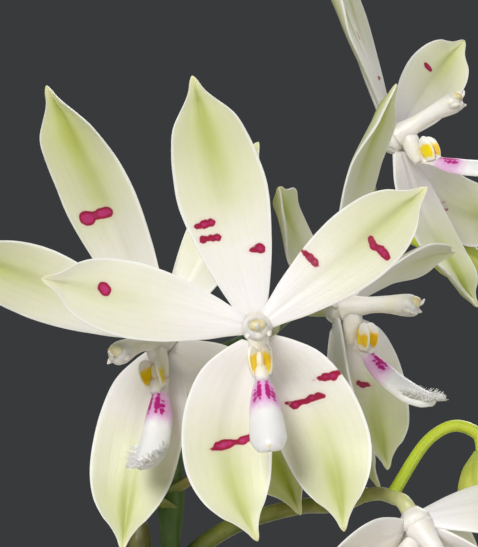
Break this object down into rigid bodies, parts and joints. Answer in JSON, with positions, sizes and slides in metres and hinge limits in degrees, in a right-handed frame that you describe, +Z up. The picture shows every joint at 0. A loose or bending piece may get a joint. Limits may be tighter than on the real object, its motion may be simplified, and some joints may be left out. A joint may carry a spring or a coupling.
{
  "type": "potted orchid",
  "caption": "Moth orchid in a filled clay pot: arching strap leaves, aerial roots, and a branched spike with star-shaped white blooms and green buds.",
  "frame": {"origin": "centre of the pot's foot, on the surface it stands on", "axes": "+Z up, the plant's longest way; the nearest bloom faces -Y; +Y is the way the plant is thinnest"},
  "size_m": [0.2571, 0.1107, 0.3078],
  "materials": {
    "clay": "matt, unglazed",
    "bark": "rough",
    "stem": "satin",
    "root": "matt",
    "leaf": "waxy",
    "spike": "satin",
    "bud": "satin",
    "petal": "waxy",
    "column": "waxy",
    "lip": "waxy"
  },
  "bodies": {
    "root": {"pot": "clay", "bark": "bark", "stem": "stem", "root_1": "root", "root_2": "root", "root_3": "root", "root_4": "root", "root_5": "root", "leaf_1": "leaf", "leaf_2": "leaf", "leaf_3": "leaf", "leaf_4": "leaf", "leaf_5": "leaf", "leaf_6": "leaf", "flower_spike": "spike", "bud_1": "bud", "bud_2": "bud", "bud_3": "bud", "bud_4": "bud", "bloom_1_tepals": "petal", "bloom_1_column": "column", "bloom_1_lip": "lip", "bloom_2_tepals": "petal", "bloom_2_column": "column", "bloom_2_lip": "lip", "bloom_3_tepals": "petal", "bloom_3_column": "column", "bloom_3_lip": "lip", "bloom_4_tepals": "petal", "bloom_4_column": "column", "bloom_4_lip": "lip", "bloom_5_tepals": "petal", "bloom_5_column": "column", "bloom_5_lip": "lip"}
  },
  "joints": []
}
